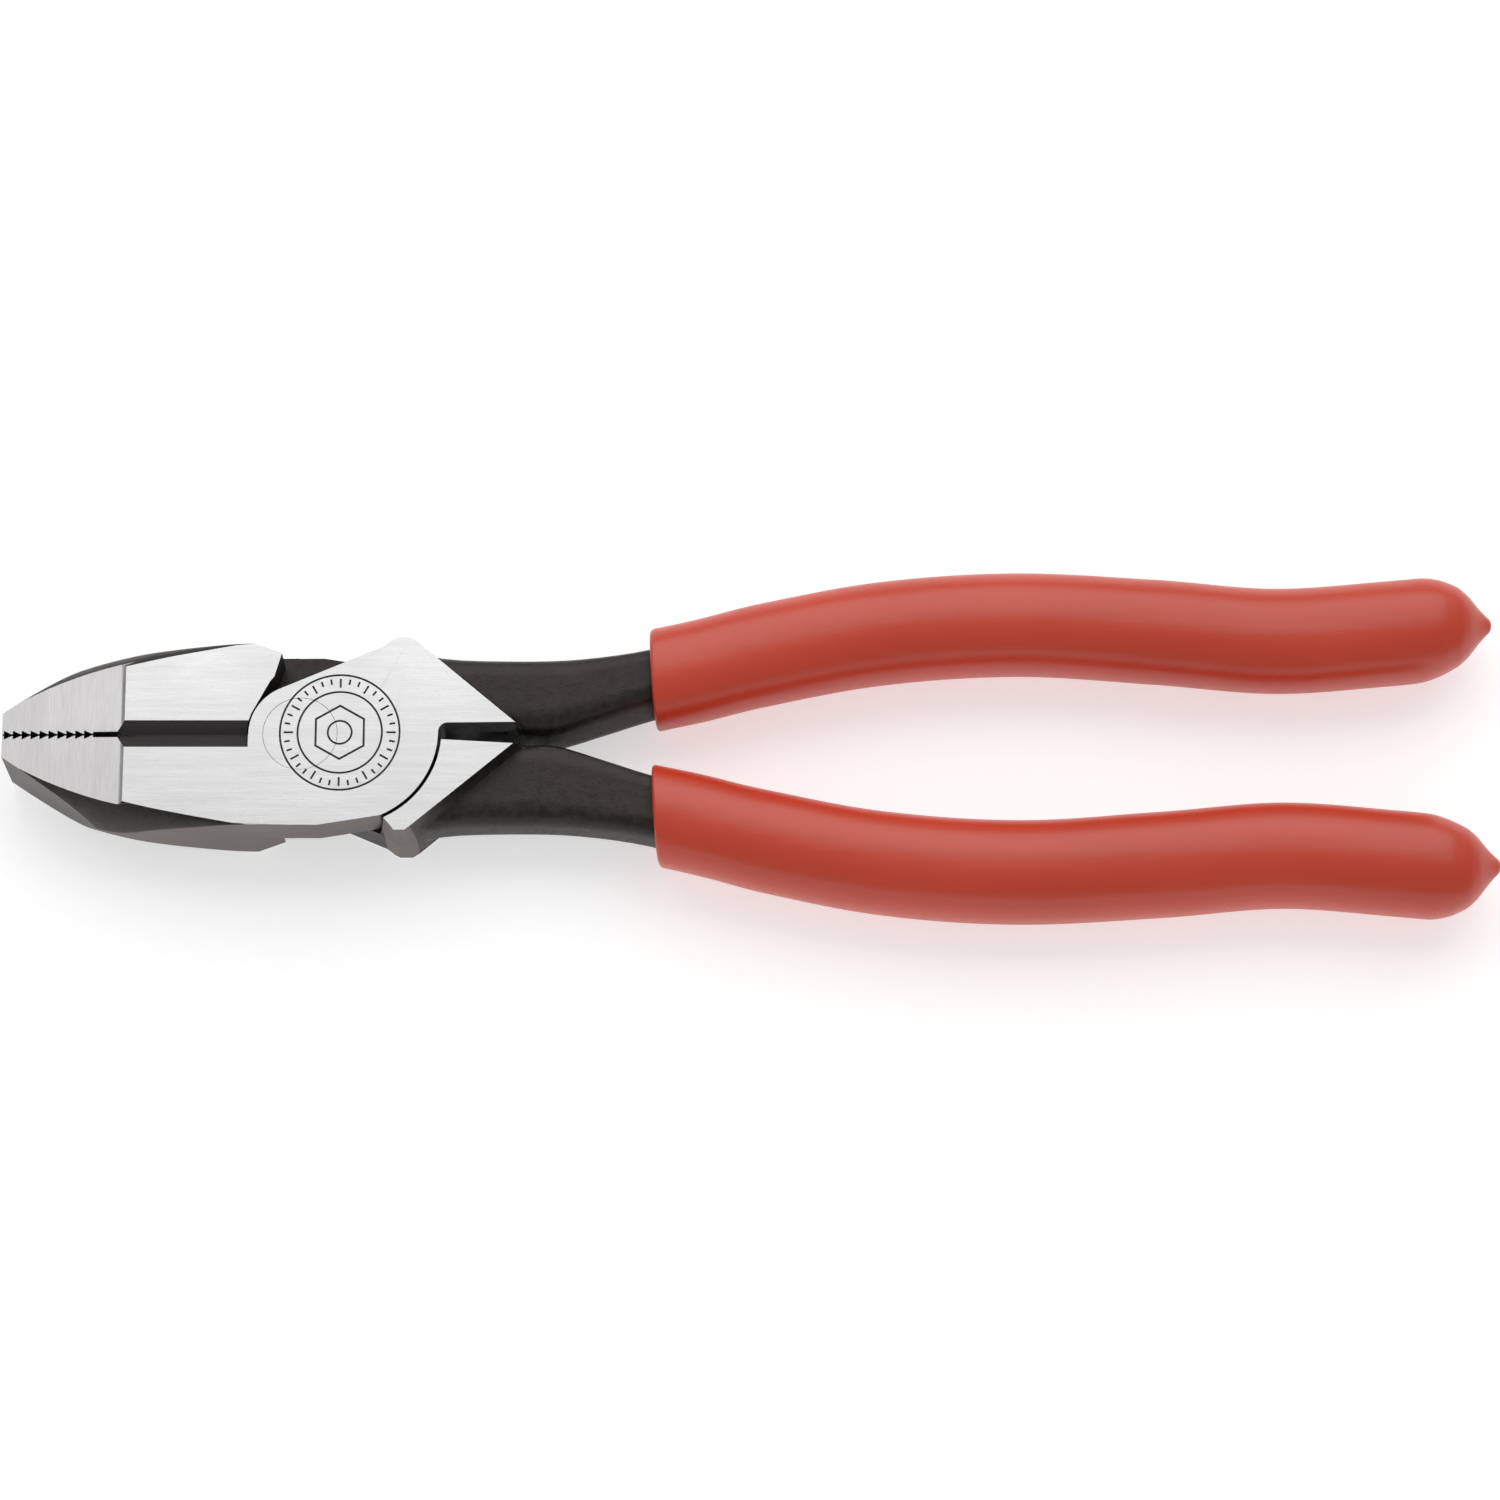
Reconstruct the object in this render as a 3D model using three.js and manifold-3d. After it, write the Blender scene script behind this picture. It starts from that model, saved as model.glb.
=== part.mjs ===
// Lineman pliers: two forged halves lapped at a riveted joint, each with a dipped sleeve on its tang.
//
// Millimetres, +Z up. The pliers lie flat on their back face and point along -X.
// The origin is on the pivot axis, in the plane of the back face. The tool is closed.
// Each half is drawn about the plane between the two layers of the lap joint. The back half is
// the front half turned half a turn about the X axis, so one function draws both.
import * as THREE from 'three';
import { mergeVertices } from 'three/addons/utils/BufferGeometryUtils.js';
import Module from 'manifold-3d';

const wasm = await Module();
wasm.setup();

// ---------------------------------------------------------------- driving dimensions

const HEAD_THICKNESS = 16;
const FACE = HEAD_THICKNESS / 2; // height of the ground face above the middle plane
const PAST = 1; // how far a cutting tool runs past the surface it cuts
const SLIVER = 0.02; // edges this short, left where two cuts cross, are closed up
const LAYER_GAP = 0.3; // between the two layers of the lap joint
const JAW_GAP = 0.3; // between the two jaws when closed

// Lap joint and the diamond-shaped head behind it.
const HUB_RADIUS = 8.2; // round root of the lap, about the pivot
const HUB_ROOM = 8.5; // the other half's clearance round that root
const STOP_EDGE_ANGLE = 23.2; // degrees, of the straight edge that the jaw's shoulder stops on
const DISC = { x: 6.8, y: 0.35, radius: 15.1 }; // round side of the lap, off the pivot's centre
const DISC_ROOM = 15.65; // the other half's clearance round that side
const DISC_FOOT_ANGLE = -66; // degrees, where the round side ends at the bottom
const DISC_FOOT_X = 3; // the straight side of the head runs up to here
const LAP_FRONT_X = -9.5; // front end of the lap, inside the jaw
const HUB_END_ANGLE = 195; // degrees, where the round root meets the jaw
const HUB_ROOM_END_ANGLE = 211; // degrees, where the clearance round the root ends
const JAW_SHOULDER = [[-4.95, -8.7], [-4.3, -9.5], [-3.17, -13.4], [-7.5, -15.0], [-9, -20]];
const HEAD_SIDE = 15.05; // half width of the head at the joint
// The diamond behind the joint, as its lap shows it on the face, and as its wing does.
const DIAMOND_CORNER = [[18.4, 15.3], [17.3, 16.0], [15.3, 16.0], [14.5, 15.6], [13.2, 14.58]];
const DIAMOND_POINT = [34.1, 1.95];
const WING_CORNER = [[17.6, 15.25], [16.8, 15.85], [15.1, 15.85], [14.2, 14.7], [13.3, 13.65]];
const WING_POINT = [33.8, 1.57];
const INNER_EDGE = 1.85; // from the centre line to the head's inner edge on the lap side
const WING_EDGE = 0.35; // the same on the other side, at the disc, widening to the rear
const WING_FRONT_X = 12; // the wing starts here, in the room that is cut for the other half's disc
const WING_FRONT_HIGH = [12.5, 14]; // its upper edge there, on the face and at the middle plane
const INNER_FILLET = 1.5;

// Jaw.
const NOSE_X = -47.4;
const JAW_END_X = -1; // runs on into the lap disc
const JAW_STEPS = 20;
const BEVEL_STEPS = 8; // round the bevel between the ground face and the side
const NOSE_STEP_X = -27.9; // the nose is ground a little thinner in front of this line
const NOSE_STEP = 0.45;
const NOSE_TIP_DROP = 1.0; // how much thinner each face is at the very tip
const NOSE_STEP_RUN = 1.1; // length of the hollow curve that the step rises in
const NOSE_FACET = [new THREE.Vector2(NOSE_X, 3.6), new THREE.Vector2(-33, 13.3)];
const NOSE_FACET_END_X = -30; // clear of the jaw's side

// Teeth and the plain flat behind them.
const TOOTH_COUNT = 10;
const TOOTH_PITCH = 1.42;
const TOOTH_DEPTH = 0.58;
const TOOTH_RUN = 1.22; // from one tooth's upright side to where its slope reaches the flat
const TEETH_START_X = -47.1;
const FLAT_START_X = -32.9;
const FLAT_END_X = -28.6;
const FLAT_DEPTH = 0.3;

// Cutting knives: the edges lie just under the front face, with hollow relief behind them.
const KNIFE_FRONT_X = -27.9;
const KNIFE_REAR_X = -8.25;
const KNIFE_MOUTH = 2.2; // half width of the recess at the front face
const KNIFE_DEPTH = 1.3; // of the cutting edges under the front face
const KNIFE_RELIEF = 1.5; // half width just behind the edges
const KNIFE_RELIEF_Z = 3.6;
const KNIFE_BACK = 2.2; // half width at the back face
const KNIFE_NOSE_RUN = 1.4; // length of the slanted front wall of the recess

// Rivet.
const RIVET_RADIUS = 4.5;
const RIVET_HEAD_RADIUS = 5.7;
const RIVET_HEAD_DEPTH = 2.4;
const RIVET_GAP = 0.25;
const RIVET_SIDES = 40;

// Tangs.
const TANG_START_X = 17; // inside the head
const TANG_HALF_THICKNESS = 5;
const TANG_ROUND_X = 176; // the hidden end rounds off from here
const TANG_END_X = 183.4;
const TANG_SQUARENESS = 4.2; // 2 is an oval, more is squarer
const TANG_SIDES = 20;
const TANG_BARE_STEPS = 14;
const TANG_HIDDEN_STEPS = 12;
const TANG_END_STEPS = 4;
const TANG_LEAN = 2.0; // how far the inner side slants from one face to the other
const FOOT_RUN = 3.6; // of the hollow foot where the head steps down to the tang
const FOOT_RISE = 3.9;
const FOOT_START = 1.2; // how far inside the head the foot begins
const FOOT_STEPS = 6;

// Sleeves.
const SLEEVE_START_X = 55.5;
const SLEEVE_ROUND_X = 176.5;
const SLEEVE_END_X = 189.3;
const SLEEVE_SQUARENESS = 2.3;
const SLEEVE_SIDES = 22;
const SLEEVE_STEPS = 18;
const SLEEVE_END_STEPS = 6;
const SLEEVE_GAP = 0.3; // to the tang inside it
const CUFF_ROUNDING = 0.8;
const DRIP_TIP_X = 190.8;
const DRIP_Y = 20.5;
const DRIP_LENGTH = 4;
const DRIP_RADIUS = 3.4;
const DRIP_TIP_RADIUS = 0.9;
const DRIP_SIDES = 16;

const degrees = THREE.MathUtils.degToRad;

// ---------------------------------------------------------------- outlines along the tool

// A smooth curve through a few knots [x, value], read off at any x between the first and last.
function curveThrough(knots) {
  const slope = (i) => {
    const before = knots[Math.max(i - 1, 0)];
    const after = knots[Math.min(i + 1, knots.length - 1)];
    return (after[1] - before[1]) / (after[0] - before[0]);
  };
  return (x) => {
    const last = knots.length - 2;
    let i = 0;
    while (i < last && x > knots[i + 1][0]) i += 1;
    const span = knots[i + 1][0] - knots[i][0];
    const t = THREE.MathUtils.clamp((x - knots[i][0]) / span, 0, 1);
    const keep = (1 + 2 * t) * (1 - t) * (1 - t);
    const rise = slope(i) * t * (1 - t) * (1 - t) - slope(i + 1) * t * t * (1 - t);
    return knots[i][1] * keep + knots[i + 1][1] * (1 - keep) + span * rise;
  };
}

// From the centre line to the edge of the jaw's ground face, if the nose were not thinned.
const jawFaceEdge = curveThrough([
  [NOSE_X, 2.9], [-43.2, 5.1], [-38.3, 7.5], [-32, 10.0], [-24, 12.1], [-16, 13.7], [-8, 14.95], [-1, 15.05],
]);
// From the centre line to the jaw's side at the middle plane.
const jawSide = curveThrough([
  [NOSE_X, 6.6], [-40, 10.9], [-33, 13.4], [-28, 14.5], [-23.4, 14.76], [-16.6, 14.93], [-8, 15.0],
  [-1, 15.05],
]);
// Half height of the upright ground band on the jaw's side.
const jawBand = curveThrough([
  [NOSE_X, 0.3], [-31, 0.4], [-28, 1.3], [-23.4, 3.7], [-16.6, 6.1], [-10, 7.8], [-1, 7.9],
]);

// Outer and inner side of a tang, from the head to its hidden end.
const tangOuter = curveThrough([
  [TANG_START_X, 15.1], [19, 14.8], [22, 14.25], [27, 13.85], [39.5, 13.8], [47.5, 14.4], [55.5, 15.7],
  [73, 20.2], [92, 23.9], [114, 25.4], [137, 24.2], [156, 22.7], [175, 24.0], [TANG_END_X, 24.8],
]);
const tangInner = curveThrough([
  [TANG_START_X, 0.6], [33, 0.3], [39.7, -0.1], [47.4, 2.2], [55.5, 4.9],
  [73, 9.6], [92, 13.3], [114, 14.8], [137, 13.6], [156, 12.1], [175, 13.4], [TANG_END_X, 14.2],
]);

// Centre line and half sizes of a sleeve.
const sleeveCentre = curveThrough([
  [SLEEVE_START_X, 11.15], [63.4, 12.9], [73, 15.4], [92, 19.1], [114, 20.65], [137, 19.4],
  [156, 17.9], [175, 19.25], [184, 20.2], [SLEEVE_END_X, 20.3],
]);
const sleeveHalfWidth = curveThrough([
  [SLEEVE_START_X, 8.25], [73, 8.4], [114, 8.35], [140, 8.53], [SLEEVE_END_X, 8.53],
]);
const sleeveHalfThickness = curveThrough([
  [SLEEVE_START_X, 7.3], [114, 7.8], [156, 7.4], [175, 7.6], [SLEEVE_END_X, 7.6],
]);

// ---------------------------------------------------------------- solids from three.js shapes

function solidFrom(geometry) {
  geometry.deleteAttribute('normal');
  geometry.deleteAttribute('uv');
  const merged = mergeVertices(geometry, 1e-4);
  return new wasm.Manifold(new wasm.Mesh({
    numProp: 3,
    vertProperties: new Float32Array(merged.attributes.position.array),
    triVerts: new Uint32Array(merged.index.array),
  }));
}

// Joins the ends of every edge shorter than a sliver, and drops the faces that this closes up.
function withoutSlivers(solid) {
  const { vertProperties, triVerts } = solid.getMesh();
  const corner = (v) => new THREE.Vector3().fromArray(vertProperties, 3 * v);
  const joined = Array.from({ length: vertProperties.length / 3 }, (_, v) => v);
  const root = (v) => (joined[v] === v ? v : root(joined[v]));
  for (let i = 0; i < triVerts.length; i += 1) {
    const next = i % 3 === 2 ? i - 2 : i + 1;
    const a = root(triVerts[i]);
    const b = root(triVerts[next]);
    if (a !== b && corner(a).distanceTo(corner(b)) < SLIVER) joined[Math.max(a, b)] = Math.min(a, b);
  }
  const kept = [];
  for (let i = 0; i < triVerts.length; i += 3) {
    const face = Array.from(triVerts.slice(i, i + 3), root);
    if (new Set(face).size === 3) kept.push(...face);
  }
  return new wasm.Manifold(new wasm.Mesh({
    numProp: 3, vertProperties, triVerts: new Uint32Array(kept),
  })).simplify(SLIVER);
}

function geometryFrom(solid) {
  const mesh = solid.getMesh();
  const geometry = new THREE.BufferGeometry();
  geometry.setAttribute('position', new THREE.BufferAttribute(mesh.vertProperties, 3));
  geometry.setIndex(new THREE.BufferAttribute(mesh.triVerts, 1));
  geometry.computeVertexNormals();
  return geometry;
}

// A plan outline made solid between two heights.
function plate(outline, low, high, curveSegments = 12) {
  const geometry = new THREE.ExtrudeGeometry(outline, {
    depth: high - low, bevelEnabled: false, curveSegments,
  });
  return solidFrom(geometry.translate(0, 0, low));
}

function polygon(points) {
  return new THREE.Shape(points.map(([x, y]) => new THREE.Vector2(x, y)));
}

// Joins rings of points, each [x, y, z] and ordered from +Y towards +Z, into one closed body.
function loft(rings) {
  const size = rings[0].length;
  const positions = rings.flat(2);
  const index = [];
  for (let ring = 0; ring < rings.length - 1; ring += 1) {
    for (let j = 0; j < size; j += 1) {
      const a = ring * size + j;
      const b = ring * size + ((j + 1) % size);
      index.push(a, b, a + size, b, b + size, a + size);
    }
  }
  const lastRing = (rings.length - 1) * size;
  for (let j = 1; j < size - 1; j += 1) {
    index.push(0, j + 1, j);
    index.push(lastRing, lastRing + j, lastRing + j + 1);
  }
  const geometry = new THREE.BufferGeometry();
  geometry.setAttribute('position', new THREE.Float32BufferAttribute(positions, 3));
  geometry.setIndex(index);
  return solidFrom(geometry);
}

// A ring in the plane at x: an oval whose flats grow with squareness.
function ovalRing(x, centreY, halfWidth, halfThickness, squareness, sides) {
  const power = 2 / squareness;
  return Array.from({ length: sides }, (_, i) => {
    const angle = (2 * Math.PI * (i + 0.5)) / sides;
    const c = Math.cos(angle);
    const s = Math.sin(angle);
    const y = centreY + halfWidth * Math.sign(c) * Math.abs(c) ** power;
    return [x, y, halfThickness * Math.sign(s) * Math.abs(s) ** power];
  });
}

// Even steps from one place up to, but not including, the next.
function evenSteps(start, end, count) {
  return Array.from({ length: count }, (_, i) => THREE.MathUtils.lerp(start, end, i / count));
}

// Closer and closer steps round the end of a run.
function closingSteps(start, end, count) {
  return Array.from({ length: count }, (_, i) => (
    start + (end - start) * Math.sin((i / count) * (Math.PI / 2))));
}

// 1 along the run, falling to 0 at the end as a quarter of an oval.
function roundedEnd(x, roundStart, end) {
  const t = Math.max(0, (x - roundStart) / (end - roundStart));
  return Math.sqrt(Math.max(0, 1 - t * t));
}

// ---------------------------------------------------------------- the head

// Front layer of the front half: lap disc and upper half of the diamond.
function lapOutline() {
  const outline = new THREE.Shape();
  outline.moveTo(LAP_FRONT_X, -HEAD_SIDE + 0.1);
  outline.lineTo(DISC_FOOT_X, -HEAD_SIDE);
  outline.absarc(DISC.x, DISC.y, DISC.radius, degrees(DISC_FOOT_ANGLE), 0, false);
  outline.absarc(DISC.x + DISC.radius + INNER_FILLET, INNER_EDGE - INNER_FILLET, INNER_FILLET,
    Math.PI, Math.PI / 2, true);
  for (const [x, y] of [DIAMOND_POINT, ...DIAMOND_CORNER]) outline.lineTo(x, y);
  outline.absarc(0, 0, HUB_RADIUS, degrees(90 + STOP_EDGE_ANGLE), degrees(HUB_END_ANGLE), false);
  outline.lineTo(LAP_FRONT_X, -KNIFE_MOUTH);
  return outline;
}

// Back layer of the front half: the wing that carries the diamond round the other half's disc.
// Its sides slant a little, from its own outline on the face to the lap's at the middle plane.
function wing() {
  const outline = (low, point, corner, high) => [
    [WING_FRONT_X, low], point, ...corner, [WING_FRONT_X, high],
  ];
  const onFace = outline(WING_EDGE, WING_POINT, WING_CORNER, WING_FRONT_HIGH[0]);
  const atMiddle = outline(INNER_EDGE, DIAMOND_POINT, DIAMOND_CORNER, WING_FRONT_HIGH[1]);
  return loft([
    onFace.map(([x, y]) => [x, y, -FACE]),
    atMiddle.map(([x, y]) => [x, y, LAYER_GAP / 2]),
  ]);
}

// Room in the back layer for the other half's disc. Its left side is the jaw's rear shoulder.
function lapRoomOutline() {
  const outline = new THREE.Shape();
  outline.absarc(0, 0, HUB_ROOM, Math.PI, degrees(HUB_ROOM_END_ANGLE), false);
  for (const [x, y] of JAW_SHOULDER) outline.lineTo(x, y);
  outline.lineTo(DISC.x, JAW_SHOULDER.at(-1)[1]);
  outline.absarc(DISC.x, -DISC.y, DISC_ROOM, -Math.PI / 2, Math.PI / 2, false);
  outline.lineTo(-HUB_ROOM, DISC_ROOM);
  return outline;
}

// ---------------------------------------------------------------- the jaw

// A slice across the lower jaw: flat inside and on both faces, bevelled round to an upright band.
function jawRing(x) {
  const face = jawFaceEdge(x);
  const side = jawSide(x);
  const band = jawBand(x);
  const bevel = new THREE.QuadraticBezierCurve(
    new THREE.Vector2(face, FACE),
    new THREE.Vector2(face + 0.75 * (side - face), FACE - 0.22 * (FACE - band)),
    new THREE.Vector2(side, band),
  ).getPoints(BEVEL_STEPS);
  const front = bevel.map((p) => [x, -p.x, p.y]);
  const back = bevel.map((p) => [x, -p.x, -p.y]).reverse();
  return [[x, -JAW_GAP / 2, -FACE], [x, -JAW_GAP / 2, FACE], ...front, ...back];
}

function jawBlank() {
  const xs = [...evenSteps(NOSE_X, JAW_END_X, JAW_STEPS), JAW_END_X];
  return loft(xs.map(jawRing));
}

// Ground away from the nose: the slanted side of the tip.
function noseFacet() {
  const [tip, rear] = NOSE_FACET;
  const slope = (rear.y - tip.y) / (rear.x - tip.x);
  const at = (x) => tip.y + slope * (x - tip.x);
  const far = HEAD_SIDE + 10 * PAST;
  const outline = polygon([
    [NOSE_X - PAST, -at(NOSE_X - PAST)], [NOSE_X - PAST, -far],
    [NOSE_FACET_END_X, -far], [NOSE_FACET_END_X, -at(NOSE_FACET_END_X)],
  ]);
  return plate(outline, -FACE - PAST, FACE + PAST);
}

// Ground away from the nose: a shallow wedge on one face, ending in a hollow-rounded step.
function noseThinning(side) {
  const profile = new THREE.Shape();
  const tip = FACE - NOSE_TIP_DROP;
  const root = FACE - NOSE_STEP;
  profile.moveTo(NOSE_X - PAST, tip);
  profile.lineTo(NOSE_STEP_X - NOSE_STEP_RUN, root);
  profile.quadraticCurveTo(NOSE_STEP_X - 0.4 * NOSE_STEP_RUN, root, NOSE_STEP_X, FACE);
  profile.lineTo(NOSE_STEP_X + 0.3 * PAST, FACE + PAST);
  profile.lineTo(NOSE_X - PAST, FACE + PAST);
  const depth = 2 * HEAD_SIDE + 2 * PAST;
  const wedge = new THREE.ExtrudeGeometry(profile, { depth, bevelEnabled: false, curveSegments: 4 });
  wedge.rotateX(Math.PI / 2).translate(0, depth / 2, 0);
  if (side < 0) wedge.rotateX(Math.PI);
  return solidFrom(wedge);
}

// One tooth gap across the lower jaw: upright towards the tip, tapering out towards the joint.
function toothGap(i) {
  const x = TEETH_START_X + i * TOOTH_PITCH;
  const surface = -JAW_GAP / 2;
  const outline = polygon([
    [x, PAST], [x, surface - TOOTH_DEPTH], [x + TOOTH_RUN, surface], [x + TOOTH_RUN, PAST],
  ]);
  return plate(outline, -FACE - PAST, FACE + PAST);
}

function plainFlat() {
  const bottom = -JAW_GAP / 2 - FLAT_DEPTH;
  const outline = polygon([
    [FLAT_START_X, PAST], [FLAT_START_X, bottom], [FLAT_END_X, bottom], [FLAT_END_X, PAST],
  ]);
  return plate(outline, -FACE - PAST, FACE + PAST);
}

// The recess that both knives share. Facing is 1 where the edges are near the top, or -1.
function knifeRecess(facing) {
  const edge = JAW_GAP / 2;
  const mouthSlope = (KNIFE_MOUTH - edge) / KNIFE_DEPTH;
  const rightHalf = [
    [KNIFE_BACK, -FACE - PAST], [KNIFE_RELIEF, KNIFE_RELIEF_Z], [edge, FACE - KNIFE_DEPTH],
    [KNIFE_MOUTH + mouthSlope * PAST, FACE + PAST],
  ];
  const leftHalf = rightHalf.map(([y, z]) => [-y, z]).reverse();
  const profile = polygon([...rightHalf, ...leftHalf].map(([y, z]) => [y, z * facing]));
  const length = KNIFE_REAR_X - KNIFE_FRONT_X + KNIFE_NOSE_RUN;
  const section = new THREE.ExtrudeGeometry(profile, { depth: length, bevelEnabled: false });
  // The section's own x becomes Y and its y becomes Z.
  section.rotateX(Math.PI / 2).rotateZ(Math.PI / 2).translate(KNIFE_FRONT_X - KNIFE_NOSE_RUN, 0, 0);
  // In plan the recess comes to a point at its front end.
  const wide = 2 * KNIFE_MOUTH;
  const fullX = KNIFE_FRONT_X + KNIFE_NOSE_RUN;
  const plan = polygon([
    [KNIFE_FRONT_X - KNIFE_NOSE_RUN, 0], [fullX, -wide], [KNIFE_REAR_X, -wide],
    [KNIFE_REAR_X, wide], [fullX, wide],
  ]);
  return solidFrom(section).intersect(plate(plan, -FACE - 2 * PAST, FACE + 2 * PAST));
}

// ---------------------------------------------------------------- tang, sleeve and rivet

// One ring round the tang. Place gives x for any y and height, so that a ring can run slantwise.
function tangRing(place, high, grow = 0, taper = 1) {
  return ovalRing(0, 0, 1, 1, TANG_SQUARENESS, TANG_SIDES).map(([, across, up]) => {
    const slant = TANG_LEAN * taper * ((1 - across) / 2) * ((1 + up) / 2);
    let x = place(0, up);
    let y = 0;
    for (let pass = 0; pass < 5; pass += 1) {
      const middle = (tangOuter(x) + tangInner(x)) / 2;
      const halfWidth = (tangOuter(x) - tangInner(x)) / 2 + grow;
      y = middle + halfWidth * taper * across + slant;
      x = place(y, up);
    }
    return [x, y, high * up];
  });
}

// The tang of the front half. Grow makes the same shape thicker all round.
function tang(grow = 0, startX = TANG_START_X) {
  const end = TANG_END_X + grow;
  const bare = startX < SLEEVE_START_X ? evenSteps(startX, SLEEVE_START_X, TANG_BARE_STEPS) : [];
  const hidden = evenSteps(Math.max(startX, SLEEVE_START_X), TANG_ROUND_X, TANG_HIDDEN_STEPS);
  const xs = [...bare, ...hidden, ...closingSteps(TANG_ROUND_X, end, TANG_END_STEPS)];
  return loft(xs.map((x) => {
    const taper = roundedEnd(x, TANG_ROUND_X, end);
    return tangRing(() => x, (TANG_HALF_THICKNESS + grow) * taper, grow, taper);
  }));
}

// Where the tang swells to the head's thickness. Its rings run along the diamond's rear edge.
function headFoot() {
  const lineX = ([tipX, tipY], [cornerX, cornerY]) => (y) => (
    tipX + ((cornerX - tipX) * (y - tipY)) / (cornerY - tipY));
  const frontX = lineX(DIAMOND_POINT, DIAMOND_CORNER[0]);
  const backX = lineX(WING_POINT, WING_CORNER[0]);
  const edgeX = (y, up) => THREE.MathUtils.lerp(backX(y), frontX(y), (1 + up) / 2);
  const rings = [[-FOOT_START, FACE - PAST]];
  for (let i = 0; i <= FOOT_STEPS; i += 1) {
    const angle = (i / FOOT_STEPS) * (Math.PI / 2);
    rings.push([FOOT_RUN * (1 - Math.cos(angle)), FACE - FOOT_RISE * Math.sin(angle)]);
  }
  return loft(rings.map(([away, high]) => (
    tangRing((y, up) => edgeX(y, up) + away, high))));
}

function sleeve() {
  const ring = (x, trim = 0) => {
    const taper = roundedEnd(x, SLEEVE_ROUND_X, SLEEVE_END_X);
    return ovalRing(x, sleeveCentre(x), sleeveHalfWidth(x) * taper - trim,
      sleeveHalfThickness(x) * taper - trim, SLEEVE_SQUARENESS, SLEEVE_SIDES);
  };
  const fullX = SLEEVE_START_X + CUFF_ROUNDING;
  const straight = evenSteps(fullX, SLEEVE_ROUND_X, SLEEVE_STEPS);
  const round = closingSteps(SLEEVE_ROUND_X, SLEEVE_END_X, SLEEVE_END_STEPS);
  const body = loft([
    ring(SLEEVE_START_X, CUFF_ROUNDING),
    ring(SLEEVE_START_X + 0.3 * CUFF_ROUNDING, 0.3 * CUFF_ROUNDING),
    ...[...straight, ...round].map((x) => ring(x)),
  ]);
  return body.add(dripTip()).subtract(tang(SLEEVE_GAP, SLEEVE_START_X - PAST));
}

// The drop that the dipped coat leaves at the end of the sleeve.
function dripTip() {
  const shape = [[0, 1], [DRIP_RADIUS, 1], [0.93 * DRIP_RADIUS, 0.65], [0.55 * DRIP_RADIUS, 0.38],
    [DRIP_TIP_RADIUS, 0.18], [0.7 * DRIP_TIP_RADIUS, 0.05], [0, 0]];
  const profile = shape.map(([radius, back]) => new THREE.Vector2(radius, -back * DRIP_LENGTH));
  const drop = new THREE.LatheGeometry(profile, DRIP_SIDES);
  drop.rotateZ(-Math.PI / 2).translate(DRIP_TIP_X, DRIP_Y, 0);
  return solidFrom(drop);
}

// The rivet's shape about its own axis. Grow makes the same shape thicker, for its hole.
function rivetShape(grow = 0) {
  const run = grow > 0 ? PAST : 0;
  const flare = (RIVET_HEAD_RADIUS - RIVET_RADIUS) / RIVET_HEAD_DEPTH;
  const profile = [
    new THREE.Vector2(0, -FACE - run),
    new THREE.Vector2(RIVET_HEAD_RADIUS + grow + flare * run, -FACE - run),
    new THREE.Vector2(RIVET_RADIUS + grow, -FACE + RIVET_HEAD_DEPTH),
    new THREE.Vector2(RIVET_RADIUS + grow, FACE - RIVET_HEAD_DEPTH),
    new THREE.Vector2(RIVET_HEAD_RADIUS + grow + flare * run, FACE + run),
    new THREE.Vector2(0, FACE + run),
  ];
  return solidFrom(new THREE.LatheGeometry(profile, RIVET_SIDES).rotateX(Math.PI / 2));
}

// ---------------------------------------------------------------- the halves

// One half without its knife: jaw below the centre line, lap in the front layer, tang above.
function plainHalf() {
  const lap = plate(lapOutline(), LAYER_GAP / 2, FACE);
  const lapRoom = plate(lapRoomOutline(), -FACE - PAST, LAYER_GAP / 2, 24);
  let jaw = jawBlank().subtract(noseFacet()).subtract(plainFlat());
  for (const side of [1, -1]) jaw = jaw.subtract(noseThinning(side));
  for (let i = 0; i < TOOTH_COUNT; i += 1) jaw = jaw.subtract(toothGap(i));
  const back = jaw.add(wing()).add(tang()).add(headFoot()).subtract(lapRoom);
  return back.add(lap).subtract(rivetShape(RIVET_GAP));
}

const forgedSteel = { color: 0x6e6a66, metalness: 0.9, roughness: 0.42 };
const groundSteel = { color: 0xd8d8da, metalness: 1.0, roughness: 0.3 };
const plastisol = { color: 0xb7402f, metalness: 0.0, roughness: 0.38 };

function piece(name, solid, look) {
  const mesh = new THREE.Mesh(geometryFrom(solid), new THREE.MeshStandardMaterial(look));
  mesh.name = name;
  return mesh;
}

const pliers = new THREE.Group();
pliers.position.z = FACE;

const half = plainHalf();
const sleeveSolid = sleeve();

const frontHalf = piece('front_half', withoutSlivers(half.subtract(knifeRecess(1))), forgedSteel);
const backHalf = piece('back_half', withoutSlivers(half.subtract(knifeRecess(-1))), forgedSteel);
const frontGrip = piece('front_half_grip', sleeveSolid, plastisol);
const backGrip = piece('back_half_grip', sleeveSolid, plastisol);
const rivet = piece('pivot_rivet', rivetShape(), groundSteel);

const backAssembly = new THREE.Group();
backAssembly.rotation.x = Math.PI;
backAssembly.add(backHalf, backGrip);
pliers.add(frontHalf, frontGrip, rivet, backAssembly);

export default pliers;
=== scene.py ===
# The darker colours of the ground sides, of the tip and of the knives' recess are painted shade.
# Lineman pliers: the looks, built round the imported CAD frame.
#
# The frame is in metres, +Z up. The tool lies flat and points along -X. Sizes below are in
# millimetres, with heights measured from the plane between the two layers of the lap joint.
# The steel halves are copies of the CAD solids with softened edges and a finish on each surface.
# The rivet and the dipped grips are modelled here.
from math import cos, pi, radians, sin, sqrt

import bmesh
import bpy
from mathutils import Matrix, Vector, noise


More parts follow.
